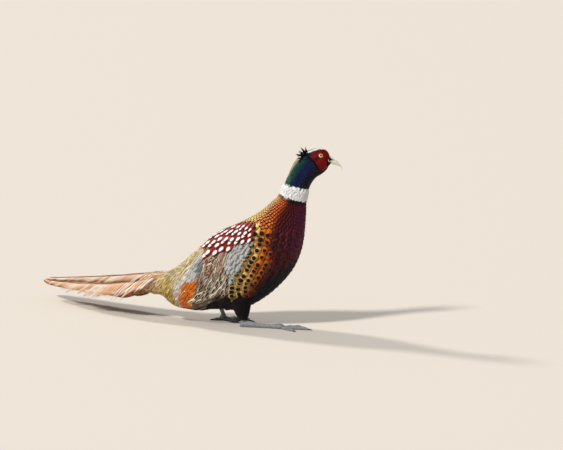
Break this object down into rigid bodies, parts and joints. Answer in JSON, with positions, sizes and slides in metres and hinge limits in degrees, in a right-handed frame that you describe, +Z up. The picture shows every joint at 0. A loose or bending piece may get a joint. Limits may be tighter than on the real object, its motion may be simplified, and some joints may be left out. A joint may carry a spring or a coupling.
{
  "type": "common pheasant cock",
  "caption": "Life-size common pheasant cock crouched in mid-step, with a long swept tail, folded wings, white neck collar and red face wattles.",
  "frame": {"origin": "on the floor, under the middle of the bounding box of the whole bird", "axes": "+X the way the body faces, +Y to the bird's left, +Z up"},
  "size_m": [0.6718, 0.2822, 0.3332],
  "materials": {
    "body_plumage": "soft overlapping feathers, copper with dark edges",
    "belly_plumage": "dense black-brown feathers",
    "rump_plumage": "loose hair-like feathers, silver grey to olive",
    "neck_plumage": "short glossy feathers, blue-green sheen",
    "wing_plumage": "stiff vanes, buff with maroon edges",
    "tail_plumage": "long fringed vanes, buff with dark bars",
    "wattle_skin": "bare red skin with small bumps",
    "eye": "wet, dark pupil in an orange iris",
    "bill_horn": "smooth ivory horn",
    "leg_scales": "grey scaled skin",
    "claw_horn": "dark horn"
  },
  "bodies": {
    "root": {"bill_lower": "bill_horn", "bill_upper": "bill_horn", "claw_hind_left": "claw_horn", "claw_hind_right": "claw_horn", "claw_inner_left": "claw_horn", "claw_inner_right": "claw_horn", "claw_middle_left": "claw_horn", "claw_middle_right": "claw_horn", "claw_outer_left": "claw_horn", "claw_outer_right": "claw_horn", "eye_left": "eye", "eye_right": "eye", "foot_left": "leg_scales", "foot_right": "leg_scales", "head": "neck_plumage", "neck": "neck_plumage", "rump": "rump_plumage", "tail": "tail_plumage", "tarsus_left": "leg_scales", "tarsus_right": "leg_scales", "thigh_left": "belly_plumage", "thigh_right": "belly_plumage", "torso": "body_plumage", "wattle_left": "wattle_skin", "wattle_right": "wattle_skin", "wing_left": "wing_plumage", "wing_right": "wing_plumage"}
  },
  "joints": []
}
